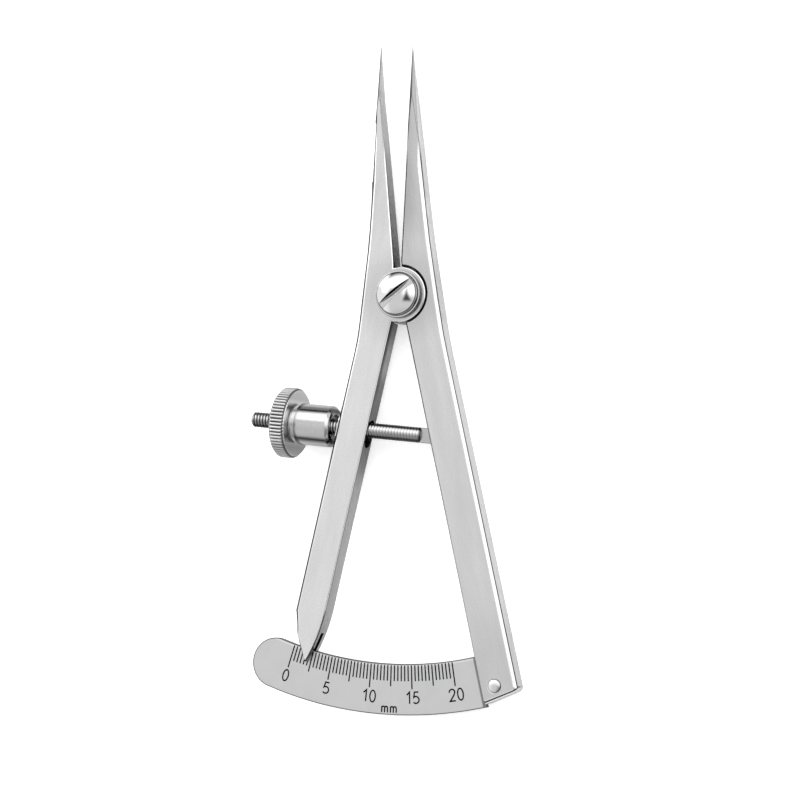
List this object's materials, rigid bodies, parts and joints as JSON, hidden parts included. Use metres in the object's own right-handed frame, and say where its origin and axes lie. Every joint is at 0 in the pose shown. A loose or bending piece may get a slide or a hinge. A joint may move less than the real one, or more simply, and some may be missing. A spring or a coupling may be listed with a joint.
{
  "type": "surgical caliper",
  "caption": "Screw-adjusted pointed caliper: two legs on a pivot, a knurled thumb nut on a cross screw, and an engraved arc scale read by a slotted pointer.",
  "frame": {"origin": "on the pivot's axis, in the plane of the legs' back faces, where the pivot screw ends flush", "axes": "+Y towards the needle points, +Z out of the front face, parallel to the pivot's axis, +X towards the fixed leg and the rivet"},
  "size_m": [0.044, 0.1032, 0.011],
  "materials": {
    "leg_steel": "satin, fine brushed along the leg, with polished narrow edges",
    "scale_steel": "fine matt, with blackened engraved marks",
    "polished_steel": "mirror polished bare steel",
    "threaded_steel": "machined",
    "knurled_steel": "straight knurl, bright crests"
  },
  "bodies": {
    "fixed_side": {"fixed_leg": "leg_steel", "pivot_screw": "polished_steel", "pivot_washer": "polished_steel", "scale_plate": "scale_steel", "plate_rivet": "polished_steel", "trunnion_pin": "threaded_steel"},
    "moving_side": {"moving_leg": "leg_steel"},
    "cross_screw": {"adjusting_screw": "threaded_steel"},
    "sleeve": {"thrust_sleeve": "polished_steel"},
    "nut": {"thumb_nut": "knurled_steel"}
  },
  "joints": [
    {"name": "screw_swing", "type": "hinge", "parent": "fixed_side", "child": "cross_screw", "pos_m": [0.00769, -0.02215, 0.0015], "axis": [0, 0, 1], "range_deg": [-1.7, 5.4]},
    {"name": "sleeve_slide", "type": "slide", "parent": "cross_screw", "child": "sleeve", "axis": [0.9929, -0.1193, 0], "range_m": [-0.0028, 0.009]},
    {"name": "nut_spin", "type": "hinge", "parent": "sleeve", "child": "nut", "pos_m": [-0.01892, -0.01895, 0.0015], "axis": [0.9929, -0.1193, 0], "range_deg": [-2024, 6491]},
    {"name": "leg_pivot", "type": "hinge", "parent": "fixed_side", "child": "moving_side", "pos_m": [0, 0, 0.0015], "axis": [0, 0, 1], "range_deg": [-7.5, 24.05]}
  ],
  "couplings": [
    {"joint": "nut_spin", "follows": "sleeve_slide", "rad_per_m": 12566},
    {"joint": "leg_pivot", "follows": "sleeve_slide", "rad_per_m": 46.555},
    {"joint": "screw_swing", "follows": "sleeve_slide", "rad_per_m": 10.428}
  ]
}
